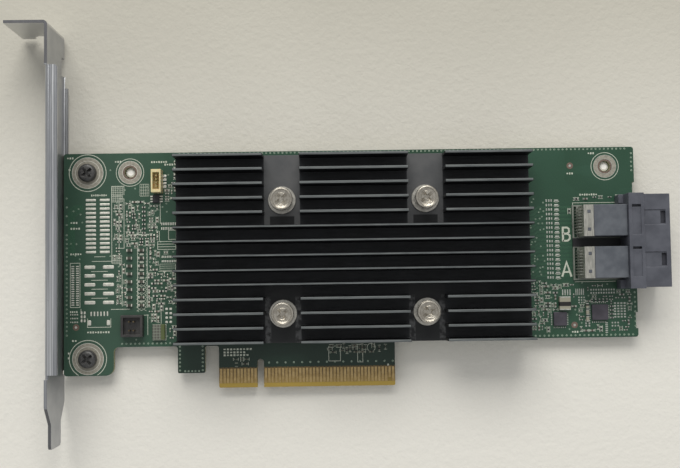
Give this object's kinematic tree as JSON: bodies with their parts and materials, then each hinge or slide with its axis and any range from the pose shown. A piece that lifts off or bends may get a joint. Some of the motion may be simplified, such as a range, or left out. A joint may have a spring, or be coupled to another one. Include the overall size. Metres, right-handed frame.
{
  "type": "raid controller card",
  "caption": "Low-profile storage controller board on a full-height bracket, with a finned heat sink, a keyed edge connector and a twin cable socket.",
  "frame": {"origin": "middle of the key slot on the finger edge of the board, on its component face", "axes": "+X from the bracket to the cable sockets, +Y from the finger edge to the top edge, +Z out of the component face"},
  "size_m": [0.1876, 0.12, 0.0199],
  "materials": {
    "board_green": "dark green solder mask over glass-epoxy laminate, with pale silk marks and tinned lands",
    "contact_gold": "gold plate over nickel, fine wiping marks",
    "bracket_steel": "bright zinc plate, rolled sheet grain",
    "black_screw": "black zinc plate",
    "sink_black": "black anodised extrusion, sawn fin ends",
    "nickel_bright": "nickel plate, turned",
    "spring_steel": "drawn spring wire",
    "laminate_green": "laminate carrier",
    "pad_grey": "soft thermal pad",
    "connector_black": "glass-filled moulding, faint sheen",
    "module_grey": "dark grey moulding, faint sheen",
    "clip_steel": "tinned spring strip",
    "tinned": "tin plate with solder fillets",
    "cream_plastic": "cream nylon moulding",
    "chip_black": "moulded epoxy, fine matt grain",
    "capacitor_tan": "fired ceramic",
    "resistor_black": "glazed film on ceramic",
    "silk_white": "screen-printed outlines and marks, off-white ink"
  },
  "bodies": {
    "root": {"circuit_board": "board_green", "edge_contacts": "contact_gold", "bracket": "bracket_steel", "bracket_screws": "black_screw", "heatsink": "sink_black", "heatsink_screws": "nickel_bright", "heatsink_washers": "nickel_bright", "heatsink_springs": "spring_steel", "heatsink_nuts": "nickel_bright", "controller_substrate": "laminate_green", "controller_lid": "nickel_bright", "thermal_pad": "pad_grey", "socket_housing": "connector_black", "contact_module_a": "module_grey", "contact_module_b": "module_grey", "module_clip_a": "clip_steel", "module_clip_b": "clip_steel", "contact_tails_a": "tinned", "contact_tails_b": "tinned", "contact_blades_a": "contact_gold", "contact_blades_b": "contact_gold", "pin_tray": "connector_black", "cable_header": "cream_plastic", "cable_header_pins": "tinned", "service_header": "connector_black", "service_header_pins": "contact_gold", "leaded_chips": "chip_black", "chip_leads": "tinned", "regulator_chips": "chip_black", "oscillator": "chip_black", "capacitor_bodies": "capacitor_tan", "capacitor_terminals": "tinned", "resistor_bodies": "resistor_black", "resistor_terminals": "tinned"}
  },
  "joints": []
}
